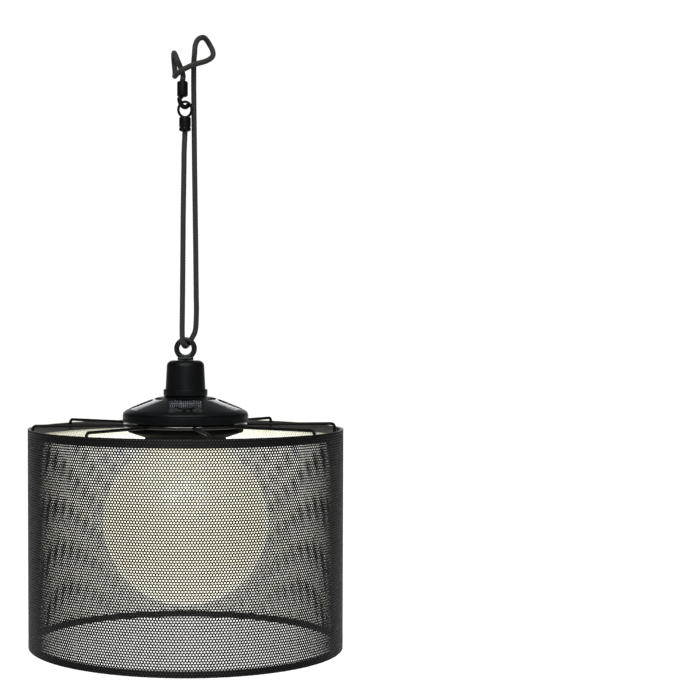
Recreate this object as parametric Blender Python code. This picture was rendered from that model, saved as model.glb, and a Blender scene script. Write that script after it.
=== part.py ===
"""Hanging solar lantern: a globe lamp inside a perforated drum shade, under a solar cap, on an elastic cord.

Metres, +Z up. The lantern's axis is Z and its front is -Y. The origin is the centre of the branch that the
cord is hitched round, so everything hangs below it. Heights are measured from the shade's top rim.
"""

import math

import bmesh
import bpy
from mathutils import Matrix, Vector

MM = 0.001
GAP = 0.3 * MM  # between pieces that touch

# Driving dimensions
RIM_Z = -356.0 * MM  # height of the shade's top rim below the branch
SHADE_R = 152.5 * MM
SHADE_H = 211.5 * MM
SHEET_T = 0.4 * MM
TOP_HOOP_H = 8.3 * MM
BOTTOM_HOOP_H = 6.3 * MM
HOOP_T = 2.0 * MM
SPOKES = 8
SPOKE_FIRST_DEG = 8.0
SPOKE_R = 1.5 * MM
HUB_OUT_R = 60.0 * MM
HUB_IN_R = 48.0 * MM
GLOBE_R = 80.0 * MM
GLOBE_T = 2.0 * MM
GLOBE_CENTRE = -92.0 * MM
GLOBE_NECK_R = 35.0 * MM
CAP_R = 61.0 * MM
NECK_TOP = 65.6 * MM
EYE_CENTRE = 77.0 * MM
EYE_HOLE_R = 5.9 * MM
EYE_OUT_R = 11.1 * MM
EYE_HALF_T = 2.2 * MM
CORD_R = 2.65 * MM
BRANCH_TILT_DEG = 27.0
EYE_TO_CORD = 2.4 * MM  # the cord hangs under the top of the eye's hole
SWING_Z = RIM_Z + EYE_CENTRE + EYE_TO_CORD

# Solar windows, flat and equal, round the dome
WINDOWS = ("front", "right", "rear_right", "rear_left", "left")
WINDOW_STEP_DEG = 360.0 / len(WINDOWS)
WINDOW_HALF_W = 15.9 * MM
WINDOW_TOP = (26.4 * MM, 28.6 * MM)  # (distance from the axis, height) at the middle of each edge
WINDOW_BOTTOM = (54.4 * MM, 18.1 * MM)
CELL_INSET = 1.0 * MM
COVER_T = 1.2 * MM
DOME_SCREW_R = 51.0 * MM
TRAY_SCREW_R = 30.5 * MM

# Electrics
LED_Y = -9.0 * MM
SWITCH_X, SWITCH_Y = 13.0 * MM, -13.0 * MM
SWITCH_TRAVEL = 3.0 * MM

# Bayonet between globe and collar
LUGS = 3
LUG_HALF_DEG = 7.0
TWIST_DEG = 40.0
LUG_R = 37.1 * MM

# Battery door
DOOR_HINGE_Y = 17.2 * MM
DOOR_HINGE_H = -4.6 * MM
DOOR_HALF_X = 25.0 * MM

# Hook and eye on the cord's ends
FITTING_Y = -6.5 * MM
HOOK_X = -2.9 * MM
EYE_X = -0.5 * MM
HOOK_BARREL = (-37.7 * MM, -22.7 * MM)
EYE_BARREL = (-70.5 * MM, -56.7 * MM)
HOOK_BEND_Z = -39.3 * MM
EYE_LOOP_Z = -49.6 * MM

MATERIALS = {}


# ---------------------------------------------------------------- helpers


def clear_scene():
    for ob in list(bpy.data.objects):
        bpy.data.objects.remove(ob, do_unlink=True)


def material(name, colour, roughness, metallic=0.0):
    """One Principled material, made once for each name."""
    if name not in MATERIALS:
        mat = bpy.data.materials.new(name)
        mat.use_nodes = True
        shader = mat.node_tree.nodes["Principled BSDF"]
        shader.inputs["Base Color"].default_value = (*colour, 1.0)
        shader.inputs["Roughness"].default_value = roughness
        shader.inputs["Metallic"].default_value = metallic
        mat.diffuse_color = (*colour, 1.0)
        MATERIALS[name] = mat
    return MATERIALS[name]


def black_plastic():
    return material("black_plastic", (0.030, 0.032, 0.034), 0.42)


def painted_steel():
    return material("black_painted_steel", (0.018, 0.018, 0.019), 0.35, 0.2)


def zinc_steel():
    return material("zinc_steel", (0.62, 0.62, 0.60), 0.35, 1.0)


def add_object(name, data, mat):
    data.materials.append(mat)
    ob = bpy.data.objects.new(name, data)
    bpy.context.scene.collection.objects.link(ob)
    return ob


def finish_mesh(name, bm, mat, sharp_deg=35.0):
    bmesh.ops.recalc_face_normals(bm, faces=bm.faces)
    mesh = bpy.data.meshes.new(name)
    bm.to_mesh(mesh)
    bm.free()
    mesh.shade_smooth()
    mesh.set_sharp_from_angle(angle=math.radians(sharp_deg))
    return add_object(name, mesh, mat)


def arc(centre, radius, start_deg, end_deg, steps):
    """Points (a, b) along an arc about centre."""
    turn = [math.radians(start_deg + (end_deg - start_deg) * i / steps) for i in range(steps + 1)]
    return [(centre[0] + radius * math.cos(t), centre[1] + radius * math.sin(t)) for t in turn]


def lathe(name, profile, mat, segments=48, at=(0.0, 0.0), base=RIM_Z, axis="Z"):
    """A solid turned about Z (or X) from a closed profile of (radius, height above base)."""
    bm = bmesh.new()
    verts = [bm.verts.new((r, 0.0, h)) for r, h in profile]
    edges = [bm.edges.new(pair) for pair in zip(verts, verts[1:] + verts[:1])]
    bmesh.ops.spin(bm, geom=verts + edges, cent=(0, 0, 0), axis=(0, 0, 1), angle=math.tau,
                   steps=segments, use_merge=True)
    bmesh.ops.remove_doubles(bm, verts=bm.verts, dist=1e-6)
    bmesh.ops.dissolve_degenerate(bm, dist=1e-7, edges=bm.edges)
    put_round(bm, at, base, axis)
    return finish_mesh(name, bm, mat)


def put_round(bm, at, base, axis):
    """Moves a round shape made about Z to its place, first laying it along X if axis says so."""
    if axis == "X":
        bmesh.ops.rotate(bm, verts=bm.verts, matrix=Matrix.Rotation(math.radians(90), 3, "Y"))
        bmesh.ops.translate(bm, verts=bm.verts, vec=(0, at[0], at[1]))
    else:
        bmesh.ops.translate(bm, verts=bm.verts, vec=(at[0], at[1], base))


def rod(name, radius, bottom, top, mat, at=(0.0, 0.0), segments=24, base=RIM_Z, axis="Z"):
    """A plain cylinder along Z (or X), with one face on each end."""
    bm = bmesh.new()
    bmesh.ops.create_cone(bm, cap_ends=True, segments=segments, radius1=radius, radius2=radius,
                          depth=top - bottom)
    bmesh.ops.translate(bm, verts=bm.verts, vec=(0, 0, (bottom + top) / 2))
    put_round(bm, at, base, axis)
    return finish_mesh(name, bm, mat)


def block(name, low, high, mat, bevel=0.0, base=RIM_Z):
    """A box between two corners, with heights above base."""
    bm = bmesh.new()
    bmesh.ops.create_cube(bm, size=1.0)
    size = Vector(high) - Vector(low)
    middle = (Vector(high) + Vector(low)) / 2 + Vector((0, 0, base))
    bmesh.ops.scale(bm, verts=bm.verts, vec=size)
    bmesh.ops.translate(bm, verts=bm.verts, vec=middle)
    if bevel:
        bmesh.ops.bevel(bm, geom=bm.edges, offset=bevel, segments=2, affect="EDGES", profile=0.5)
    return finish_mesh(name, bm, mat)


def sector(name, inner, outer, start_deg, end_deg, bottom, top, mat, steps=6):
    """A piece of a flat ring between two angles."""
    bm = bmesh.new()
    rim = arc((0, 0), outer, start_deg, end_deg, steps) + arc((0, 0), inner, end_deg, start_deg, steps)
    face = bm.faces.new([bm.verts.new((x, y, RIM_Z + bottom)) for x, y in rim])
    lifted = bmesh.ops.extrude_face_region(bm, geom=[face])["geom"]
    bmesh.ops.translate(bm, verts=[g for g in lifted if isinstance(g, bmesh.types.BMVert)],
                        vec=(0, 0, top - bottom))
    return finish_mesh(name, bm, mat)


def wire(name, points, radius, mat, taper=None, cyclic=False, resolution=2):
    """A round wire along points, as a curve with filled ends. taper scales the radius at each point."""
    curve = bpy.data.curves.new(name, "CURVE")
    curve.dimensions = "3D"
    curve.bevel_depth = radius
    curve.bevel_resolution = resolution
    curve.use_fill_caps = not cyclic
    spline = curve.splines.new("POLY")
    spline.points.add(len(points) - 1)
    for i, place in enumerate(points):
        spline.points[i].co = (*place, 1.0)
        spline.points[i].radius = taper[i] if taper else 1.0
    spline.use_cyclic_u = cyclic
    spline.use_smooth = True
    return add_object(name, curve, mat)


def as_mesh(ob):
    """The same object with its curve turned into a mesh, so that it can take a Boolean."""
    name, mat = ob.name, ob.data.materials[0]
    bpy.context.view_layer.update()
    mesh = bpy.data.meshes.new_from_object(ob.evaluated_get(bpy.context.evaluated_depsgraph_get()))
    bpy.data.objects.remove(ob, do_unlink=True)
    bm = bmesh.new()
    bm.from_mesh(mesh)
    bmesh.ops.remove_doubles(bm, verts=bm.verts, dist=1e-6)
    return finish_mesh(name, bm, mat)


def combine(target, tool, operation):
    """Adds an exact Boolean, and keeps its tool out of the build."""
    tool.hide_render = True
    tool.display_type = "WIRE"
    step = target.modifiers.new(f"{operation.lower()}_{tool.name}", "BOOLEAN")
    step.operation = operation
    step.solver = "EXACT"
    step.object = tool
    return target


def cut(target, *tools):
    for tool in tools:
        combine(target, tool, "DIFFERENCE")
    return target


def join(target, *tools):
    for tool in tools:
        combine(target, tool, "UNION")
    return target


def pivot(name, place, parent=None):
    ob = bpy.data.objects.new(name, None)
    ob.empty_display_size = 0.02
    bpy.context.scene.collection.objects.link(ob)
    ob.location = place
    if parent:
        hang(ob, parent)
    return ob


def hang(ob, parent):
    bpy.context.view_layer.update()
    ob.parent = parent
    ob.matrix_parent_inverse = parent.matrix_world.inverted()


def seat(ob, place):
    """Moves the object's origin to place without moving its shape."""
    ob.data.transform(Matrix.Translation(-Vector(place)))
    ob.location = place


def polar(radius, degrees, z):
    t = math.radians(degrees)
    return Vector((radius * math.cos(t), radius * math.sin(t), z))


def smooth_route(stops, samples):
    """Points on a Catmull-Rom curve through stops, with samples steps in each span."""
    places = [Vector(s) for s in stops]
    ends = [2 * places[0] - places[1], *places, 2 * places[-1] - places[-2]]
    out = []
    for i in range(len(places) - 1):
        a, b, c, d = ends[i : i + 4]
        for k in range(samples[i]):
            t = k / samples[i]
            out.append(0.5 * (2 * b + (c - a) * t + (2 * a - 5 * b + 4 * c - d) * t**2
                              + (3 * b - a - 3 * c + d) * t**3))
    return out + [places[-1]]


# ---------------------------------------------------------------- cord and its fittings


def by_branch(along, above, front):
    """A place given along the branch, above its centre line and in front of it, all in millimetres."""
    t = math.radians(BRANCH_TILT_DEG)
    x = along * math.cos(t) - above * math.sin(t)
    z = along * math.sin(t) + above * math.cos(t)
    return Vector((x, -front, z)) * MM


def cord_stops():
    """The cord's route from the hook, round the branch in a cow hitch, down through the eye and up again."""
    def place(x, y, z):
        return Vector((x, y, z)) * MM

    hitch = [
        place(-2.9, -6.6, -22.4), place(-2.4, -7.0, -17.0), by_branch(-8.6, -6.0, 7.4),
        by_branch(-8.3, 0.4, 9.6), by_branch(-7.6, 7.0, 6.6), by_branch(-7.6, 9.6, 0.0),
        by_branch(-9.2, 7.0, -6.6), by_branch(-12.0, 0.0, -9.6), by_branch(-15.0, -7.4, -6.6),
        by_branch(-16.8, -10.4, 0.0), by_branch(-14.4, -10.4, 7.8), by_branch(-8.4, -10.2, 13.0),
        by_branch(-1.0, -10.4, 14.6), by_branch(6.4, -11.2, 13.6), by_branch(13.8, -12.2, 10.0),
        by_branch(20.0, -11.8, 5.4), by_branch(24.8, -9.4, -0.6), by_branch(27.2, -4.4, -7.0),
        by_branch(27.6, 1.4, -9.6), by_branch(26.8, 7.2, -7.0), by_branch(24.4, 10.6, -2.0),
        by_branch(18.6, 10.2, 3.0), by_branch(13.4, 5.6, 8.2), by_branch(9.2, -1.0, 9.4),
        by_branch(5.2, -7.4, 7.6),
    ]
    down = [
        place(7.9, -5.6, -14.0), place(7.9, -2.2, -26.0), place(8.1, 0.8, -44.0),
        place(8.7, 1.4, -100.0), place(9.9, 3.0, -182.0), place(10.6, 4.8, -244.0),
        place(9.7, 5.5, -260.5),
    ]
    through_eye = [
        place(6.7, 5.9, -268.2), place(3.3, 5.2, -273.5), place(1.0, 2.6, -276.2),
        Vector((0, 0, SWING_Z)), place(-1.0, -2.6, -276.2), place(-2.4, -5.1, -273.5),
        place(-3.1, -5.7, -267.7),
    ]
    up = [
        place(-3.2, -5.7, -258.5), place(-2.8, -5.8, -222.0), place(-2.2, -6.1, -150.0),
        place(-1.3, -6.4, -90.0), place(-0.5, -6.5, -70.8),
    ]
    return hitch, down, through_eye, up


def cord_points():
    """Close points in the hitch and the eye, and wide ones along the two straight runs."""
    hitch, down, through_eye, up = cord_stops()
    stops = hitch + down + through_eye + up
    samples = []
    for a, b in zip(stops, stops[1:]):
        samples.append(max(1, round((Vector(b) - Vector(a)).length / (15 * MM))))
    return smooth_route(stops, samples)


def make_cord(parent):
    sheath = material("cord_sheath", (0.035, 0.036, 0.033), 0.85)
    cord = wire("bungee_cord", cord_points(), CORD_R, sheath)
    hang(cord, parent)
    return cord


def make_hook(parent):
    mat = black_plastic()
    low, high = HOOK_BARREL
    chamfer = 1.2 * MM
    barrel = [(0, low), (3.6 * MM, low), (5.2 * MM, low + chamfer), (5.2 * MM, high - chamfer),
              (4.0 * MM, high), (0, high)]
    hook = lathe("hook_fitting", barrel, mat, 24, (HOOK_X, FITTING_Y), base=0.0)
    bend_r, section_r = 8.0 * MM, 2.25 * MM
    centre = Vector((-0.9 * MM, FITTING_Y, HOOK_BEND_Z))
    lean = polar(1.0, 52.0, 0.0)
    stem = [Vector((HOOK_X, FITTING_Y, low + 4 * MM)),
            Vector((HOOK_X - 1.2 * MM, FITTING_Y - 2.6 * MM, low))]
    bend = [centre + lean * a + Vector((0, 0, b)) for a, b in arc((0, 0), bend_r, 188, 312, 5)]
    route = smooth_route(stem + bend, [3] * (len(stem + bend) - 1))
    heading = (route[-1] - route[-2]).normalized()
    route += [route[-1] + heading * step * MM for step in (0.9, 1.6, 2.1)]
    taper = [1.0] * (len(route) - 3) + [0.94, 0.72, 0.3]
    bar = as_mesh(wire("hook_bend", route, section_r, mat, taper, resolution=2))
    join(hook, bar)
    seat(hook, (HOOK_X, FITTING_Y, high))
    hang(hook, parent)
    return hook


def make_eye_fitting(parent):
    mat = black_plastic()
    low, high = EYE_BARREL
    groove = low + 3.4 * MM
    barrel = [(0, low), (4.4 * MM, low), (5.65 * MM, low + 0.9 * MM), (5.65 * MM, groove),
              (5.1 * MM, groove + 0.3 * MM), (5.1 * MM, groove + 0.9 * MM),
              (5.65 * MM, groove + 1.2 * MM), (5.65 * MM, high - 1.0 * MM), (4.6 * MM, high), (0, high)]
    fitting = lathe("eye_fitting", barrel, mat, 24, (EYE_X, FITTING_Y), base=0.0)
    loop = []
    for i in range(20):
        t = math.tau * i / 20
        loop.append((EYE_X + 6.3 * MM * math.cos(t), FITTING_Y, EYE_LOOP_Z + 7.4 * MM * math.sin(t)))
    ring = as_mesh(wire("eye_loop", loop, 1.3 * MM, mat, cyclic=True))
    join(fitting, ring)
    seat(fitting, (EYE_X, FITTING_Y, low))
    hang(fitting, parent)
    return fitting


# ---------------------------------------------------------------- neck and hanger eye


def make_hanger_eye(parent):
    mat = black_plastic()
    edge = 1.1 * MM
    ring_profile = [
        (EYE_HOLE_R, -EYE_HALF_T + edge), (EYE_HOLE_R + edge, -EYE_HALF_T),
        (EYE_OUT_R - edge, -EYE_HALF_T), (EYE_OUT_R, -EYE_HALF_T + edge),
        (EYE_OUT_R, EYE_HALF_T - edge), (EYE_OUT_R - edge, EYE_HALF_T),
        (EYE_HOLE_R + edge, EYE_HALF_T), (EYE_HOLE_R, EYE_HALF_T - edge),
    ]
    eye = lathe("hanger_eye", ring_profile, mat, 28, base=0.0)
    eye.data.transform(Matrix.Rotation(math.radians(90), 4, "X"))
    eye.data.transform(Matrix.Translation((0, 0, RIM_Z + EYE_CENTRE)))
    foot = block("eye_foot", (-7.75 * MM, -4.6 * MM, NECK_TOP + GAP),
                 (7.75 * MM, 4.6 * MM, NECK_TOP + 3.3 * MM), mat, 0.8 * MM)
    shank = rod("eye_shank", 3.0 * MM, 55.0 * MM, NECK_TOP + 2.0 * MM, mat)
    join(eye, foot, shank)
    seat(eye, (0, 0, SWING_Z))
    hang(eye, parent)


def make_eye_fixings(parent):
    washer = lathe("eye_washer", [(3.3 * MM, 61.4 * MM), (7.5 * MM, 61.4 * MM), (7.5 * MM, 62.9 * MM),
                                  (3.3 * MM, 62.9 * MM)], zinc_steel(), 24)
    nut = lathe("eye_nut", [(3.3 * MM, 56.4 * MM), (5.8 * MM, 56.4 * MM), (5.8 * MM, 61.1 * MM),
                            (3.3 * MM, 61.1 * MM)], zinc_steel(), 6)
    hole = rod("eye_nut_hole", 3.3 * MM, 56.0 * MM, 61.5 * MM, zinc_steel())
    cut(nut, hole)
    for ob in (washer, nut):
        hang(ob, parent)


def make_neck(parent):
    mat = black_plastic()
    round_r = 5.6 * MM
    shoulder = arc((12.6 * MM, NECK_TOP - round_r), round_r, 90, 0, 5)
    flange = [(19.4, 37.8), (20.9, 37.8), (21.4, 37.3), (21.4, 31.8), (20.9, 31.3), (17.5, 31.3)]
    bore = [(17.5, 23.6), (15.3, 23.6), (15.3, 35.5), (17.0, 38.5), (16.0, 58.0), (15.2, 60.8),
            (12.8, 63.2), (3.3, 63.2)]
    profile = [(3.3 * MM, NECK_TOP), *shoulder] + [(r * MM, h * MM) for r, h in flange + bore]
    neck = lathe("neck_housing", profile, mat, 28)
    nut = lathe("neck_nut", [(17.8 * MM, 24.4 * MM), (23.0 * MM, 24.4 * MM), (23.0 * MM, 28.0 * MM),
                             (17.8 * MM, 28.0 * MM)], mat, 24)
    for ob in (neck, nut):
        hang(ob, parent)


# ---------------------------------------------------------------- cap: dome, solar windows, base


def window_frame(index):
    """World matrix of one solar window: X across, Y down the slope, Z out of the dome."""
    turn_deg = -90.0 + WINDOW_STEP_DEG * index
    slope = Vector((WINDOW_BOTTOM[0] - WINDOW_TOP[0], 0, WINDOW_BOTTOM[1] - WINDOW_TOP[1])).normalized()
    out = Vector((-slope.z, 0, slope.x))
    middle = Vector(((WINDOW_TOP[0] + WINDOW_BOTTOM[0]) / 2, 0, (WINDOW_TOP[1] + WINDOW_BOTTOM[1]) / 2))
    across = out.cross(slope)
    basis = Matrix((across, slope, out)).transposed().to_4x4()
    place = Matrix.Translation(middle + Vector((0, 0, RIM_Z))) @ basis
    return Matrix.Rotation(math.radians(turn_deg), 4, "Z") @ place


def window_length():
    return math.dist(WINDOW_TOP, WINDOW_BOTTOM)


def dome_screw_places():
    """One screw between each pair of windows."""
    return [polar(DOME_SCREW_R, -90 + WINDOW_STEP_DEG * (k + 0.5), 0) for k in range(len(WINDOWS))]


def tray_screw_places():
    return [polar(TRAY_SCREW_R, a, 0) for a in (-30, 90, 210)]


def tile(name, half_w, half_l, bottom, top, mat, frame, bevel=0.0):
    """A flat rectangular piece lying in a window's frame."""
    ob = block(name, (-half_w, -half_l, bottom), (half_w, half_l, top), mat, bevel, base=0.0)
    ob.matrix_world = frame
    return ob


def make_dome(parent):
    mat = black_plastic()
    outer = [(17.8, 30.9), (24, 30.4), (28.6, 29.2), (35.4, 26.9), (43, 23.9), (51, 20.6), (56.6, 18.0),
             (58.4, 16.9), (60.0, 15.6), (60.6, 14.6), (60.6, 14.0)]
    inner = [(56.0, 14.0), (55.4, 15.9), (49.8, 19.1), (43, 22.1), (34.4, 25.4), (28.0, 27.3),
             (23.6, 28.4), (17.8, 28.5)]
    dome = lathe("cap_dome", [(r * MM, h * MM) for r, h in outer + inner], mat, 40)
    for k, where in enumerate(dome_screw_places()):
        boss = rod(f"dome_boss_{k + 1}", 3.2 * MM, 8.5 * MM, 19.4 * MM, mat, where[:2], 12)
        join(dome, boss)
        cut(dome, rod(f"dome_boss_hole_{k + 1}", 1.8 * MM, 8.0 * MM, 15.6 * MM, mat, where[:2], 12))
    for k, side in enumerate(WINDOWS):
        cut(dome, tile(f"window_cut_{side}", WINDOW_HALF_W, window_length() / 2, -4 * MM, 6 * MM, mat,
                       window_frame(k)))
    hang(dome, parent)


def make_solar_windows(parent):
    clear = material("clear_cover", (0.75, 0.77, 0.78), 0.08)
    cell = material("solar_cell", (0.020, 0.028, 0.050), 0.25)
    half_w = WINDOW_HALF_W - GAP
    half_l = window_length() / 2 - GAP
    for k, side in enumerate(WINDOWS):
        frame = window_frame(k)
        cover = tile(f"solar_cover_{side}", half_w, half_l, -COVER_T, 0.0, clear, frame, 0.25 * MM)
        under = tile(f"solar_cell_{side}", half_w - CELL_INSET, half_l - CELL_INSET,
                     -2 * COVER_T, -COVER_T - GAP, cell, frame)
        for ob in (cover, under):
            hang(ob, parent)


def make_base(parent):
    mat = black_plastic()
    profile = [(58.7, 13.6), (60.6, 13.6), (61.0, 13.2), (61.0, 6.7), (60.4, 6.1), (39.0, 6.1),
               (39.0, -6.2), (36.2, -6.2), (36.2, 8.1), (55.9, 8.1), (55.9, 10.3), (58.7, 10.3)]
    base = lathe("cap_base", [(r * MM, h * MM) for r, h in profile], mat, 36)
    for k, where in enumerate(tray_screw_places()):
        post = rod(f"tray_post_{k + 1}", 3.3 * MM, -3.1 * MM, 7.6 * MM, mat, where[:2], 12)
        web = block(f"tray_web_{k + 1}", (30.5 * MM, -1.3 * MM, -2.8 * MM), (37.5 * MM, 1.3 * MM, 7.2 * MM),
                    mat, base=0.0)
        web.data.transform(Matrix.Rotation(math.atan2(where.y, where.x), 4, "Z"))
        web.location = (0, 0, RIM_Z)
        join(base, post, web)
        cut(base, rod(f"tray_post_hole_{k + 1}", 1.5 * MM, -4.0 * MM, 5.0 * MM, mat, where[:2], 12))
    for k, where in enumerate(dome_screw_places()):
        sink = [(0, 5.2), (3.9, 5.2), (1.8, 7.7), (1.8, 9.0), (0, 9.0)]
        hole = lathe(f"base_hole_{k + 1}", [(r * MM, h * MM) for r, h in sink], mat, 16, where[:2])
        cut(base, hole)
    hang(base, parent)


def make_seal(parent):
    rubber = material("seal_rubber", (0.02, 0.02, 0.02), 0.9)
    seal = lathe("cap_seal", [(r * MM, h * MM) for r, h in
                              ((56.3, 10.6), (58.2, 10.6), (58.2, 13.7), (56.3, 13.7))], rubber, 36)
    hang(seal, parent)


def make_screw(name, head_r, head_low, head_high, length, where, parent, countersunk):
    """A slotted screw that points up, with its head below."""
    mat = zinc_steel()
    shaft_r = 1.2 * MM
    if countersunk:
        head = [(head_r, head_low), (shaft_r, head_high)]
    else:
        head = [(head_r * 0.8, head_low), (head_r, head_low + 0.4 * MM), (head_r, head_high),
                (shaft_r, head_high)]
    screw = lathe(name, [(0, head_low), *head, (shaft_r, length), (0, length)], mat, 12, where[:2])
    slot = block(f"{name}_slot", (where.x - 4 * MM, where.y - 0.35 * MM, head_low - 1 * MM),
                 (where.x + 4 * MM, where.y + 0.35 * MM, head_low + 0.6 * MM), mat)
    cut(screw, slot)
    hang(screw, parent)


def make_screws(parent):
    for k, where in enumerate(dome_screw_places()):
        make_screw(f"dome_screw_{k + 1}", 2.7 * MM, 6.2 * MM, 7.7 * MM, 15.0 * MM, where, parent, True)
    for k, where in enumerate(tray_screw_places()):
        make_screw(f"tray_screw_{k + 1}", 2.4 * MM, -7.1 * MM, -5.8 * MM, 4.0 * MM, where, parent, False)


# ---------------------------------------------------------------- electrics under the cap


def make_tray(parent):
    mat = material("white_plastic", (0.78, 0.78, 0.75), 0.45)
    tray = rod("light_tray", 35.8 * MM, -5.5 * MM, -3.5 * MM, mat, segments=36)
    opening = block("door_opening", (-25.3 * MM, 2.6 * MM, -7 * MM), (25.3 * MM, 18.6 * MM, 0), mat)
    led_hole = rod("led_hole", 4.5 * MM, -7 * MM, 0, mat, (0, LED_Y))
    slot = block("switch_slot", (SWITCH_X - 1.6 * MM, SWITCH_Y - 1.4 * MM, -7 * MM),
                 (SWITCH_X + SWITCH_TRAVEL + 1.6 * MM, SWITCH_Y + 1.4 * MM, 0), mat)
    cut(tray, opening, led_hole, slot)
    for k, where in enumerate(tray_screw_places()):
        cut(tray, rod(f"tray_hole_{k + 1}", 1.6 * MM, -7 * MM, 0, mat, where[:2], 12))
    for k, side in enumerate((-1, 1)):
        ends = sorted((side * 23.2 * MM, side * 26.2 * MM))
        pin = rod(f"door_pin_{k + 1}", 0.5 * MM, *ends, mat, (DOOR_HINGE_Y, RIM_Z + DOOR_HINGE_H), 12,
                  axis="X")
        join(tray, pin)
    hang(tray, parent)


def make_battery_door(parent):
    mat = material("white_plastic", (0.78, 0.78, 0.75), 0.45)
    hinge = (DOOR_HINGE_Y, RIM_Z + DOOR_HINGE_H)
    door = block("battery_door", (-DOOR_HALF_X, 2.9 * MM, DOOR_HINGE_H - 0.8 * MM),
                 (DOOR_HALF_X, DOOR_HINGE_Y, DOOR_HINGE_H + 0.8 * MM), mat)
    join(door, rod("door_barrel", 1.1 * MM, -DOOR_HALF_X, DOOR_HALF_X, mat, hinge, 16, axis="X"))
    lip = block("door_lip", (-5 * MM, 3.2 * MM, DOOR_HINGE_H - 1.8 * MM),
                (5 * MM, 4.6 * MM, DOOR_HINGE_H - 0.5 * MM), mat)
    join(door, lip)
    for k, side in enumerate((-1, 1)):
        ends = sorted((side * 22.6 * MM, side * 27 * MM))
        cut(door, rod(f"door_bore_{k + 1}", 0.7 * MM, *ends, mat, hinge, 12, axis="X"))
    seat(door, (0, *hinge))
    hang(door, parent)


def make_holder(parent):
    mat = material("black_plastic_inner", (0.05, 0.05, 0.05), 0.5)
    shell = block("battery_holder", (-26.5 * MM, 2.0 * MM, -3.2 * MM), (26.5 * MM, 17.0 * MM, 10.6 * MM),
                  mat)
    hollow = block("holder_hollow", (-25.3 * MM, 3.2 * MM, -5 * MM), (25.3 * MM, 15.8 * MM, 9.6 * MM), mat)
    cut(shell, hollow)
    hang(shell, parent)


def make_battery(parent):
    label = material("battery_wrap", (0.10, 0.32, 0.16), 0.4)
    axis = (9.5 * MM, RIM_Z + 4.0 * MM)
    body = [(0, -21.2), (4.6, -21.2), (5.2, -20.6), (5.2, 21.6), (4.6, 22.2), (1.9, 22.2), (1.9, 23.2),
            (0, 23.2)]
    battery = lathe("battery", [(r * MM, h * MM) for r, h in body], label, 14, axis, axis="X")
    plate = block("contact_plus", (23.6 * MM, 5.5 * MM, 0.2 * MM), (24.9 * MM, 13.5 * MM, 7.8 * MM),
                  zinc_steel())
    turns, steps = 3, 8
    coil = []
    for i in range(turns * steps + 1):
        part = i / (turns * steps)
        reach = (3.6 - 1.2 * part) * MM
        t = math.tau * i / steps
        along = -24.5 * MM + 2.8 * MM * part
        coil.append((along, axis[0] + reach * math.cos(t), axis[1] + reach * math.sin(t)))
    spring = wire("contact_spring", coil, 0.3 * MM, zinc_steel(), resolution=0)
    for ob in (battery, plate, spring):
        hang(ob, parent)


def make_board(parent):
    fibre = material("circuit_board", (0.03, 0.16, 0.07), 0.5)
    lens = material("led_lens", (0.85, 0.84, 0.72), 0.15)
    board = block("circuit_board", (-18 * MM, -19.0 * MM, 1.2 * MM), (20 * MM, -4.0 * MM, 2.8 * MM), fibre)
    dome = arc((0, -4.6 * MM), 3.4 * MM, 0, -90, 3)
    profile = [(0, 0.9 * MM), (4.0 * MM, 0.9 * MM), (4.0 * MM, -0.3 * MM), (3.4 * MM, -0.3 * MM), *dome]
    lamp = lathe("led_lamp", profile, lens, 12, (0, LED_Y))
    body = block("switch_body", (SWITCH_X - 3.2 * MM, SWITCH_Y - 2.2 * MM, -2.4 * MM),
                 (SWITCH_X + 6.2 * MM, SWITCH_Y + 2.2 * MM, 0.9 * MM), zinc_steel())
    for ob in (board, lamp, body):
        hang(ob, parent)


def make_knob(parent):
    mat = material("black_plastic_inner", (0.05, 0.05, 0.05), 0.5)
    knob = block("switch_knob", (SWITCH_X - 1.3 * MM, SWITCH_Y - 1.1 * MM, -7.2 * MM),
                 (SWITCH_X + 1.3 * MM, SWITCH_Y + 1.1 * MM, -2.7 * MM), mat)
    seat(knob, (SWITCH_X, SWITCH_Y, RIM_Z - 2.7 * MM))
    hang(knob, parent)


# ---------------------------------------------------------------- globe and its collar


def make_collar(parent):
    mat = black_plastic()
    profile = [(39.3, 5.8), (39.3, -6.6), (35.3, -6.6), (35.3, -16.7), (38.9, -16.7), (39.3, -16.3),
               (39.3, -8.6), (41.6, -8.2), (55.4, -3.6), (56.2, -2.6), (56.2, 0.8), (55.8, 1.2),
               (47.5, 1.2), (47.5, 5.8)]
    collar = lathe("globe_collar", [(r * MM, h * MM) for r, h in profile], mat, 40)
    for k in range(LUGS):
        turn = 360 / LUGS * k
        low, high = -13.3 * MM, -9.7 * MM
        inside, outside = 34.5 * MM, LUG_R + GAP
        track = sector(f"lug_track_{k + 1}", inside, outside, turn - LUG_HALF_DEG - 1.5,
                       turn + TWIST_DEG + LUG_HALF_DEG + 1.5, low, high, mat, 8)
        way_in = sector(f"lug_entry_{k + 1}", inside, outside, turn + TWIST_DEG - LUG_HALF_DEG - 1.5,
                        turn + TWIST_DEG + LUG_HALF_DEG + 1.5, -18.0 * MM, -12.0 * MM, mat, 4)
        cut(collar, track, way_in)
    hang(collar, parent)


def globe_profile():
    """Outer ball up to the neck, and the inner ball back down."""
    centre = (0.0, GLOBE_CENTRE)
    inner_r = GLOBE_R - GLOBE_T
    neck_in = GLOBE_NECK_R - GLOBE_T
    outer_end = math.degrees(math.acos(GLOBE_NECK_R / GLOBE_R))
    inner_end = math.degrees(math.acos(neck_in / inner_r))
    outer = arc(centre, GLOBE_R, -90, outer_end, 12)
    inner = arc(centre, inner_r, inner_end, -90, 10)
    top = -7.3 * MM
    return outer + [(GLOBE_NECK_R, top), (neck_in, top)] + inner


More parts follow.
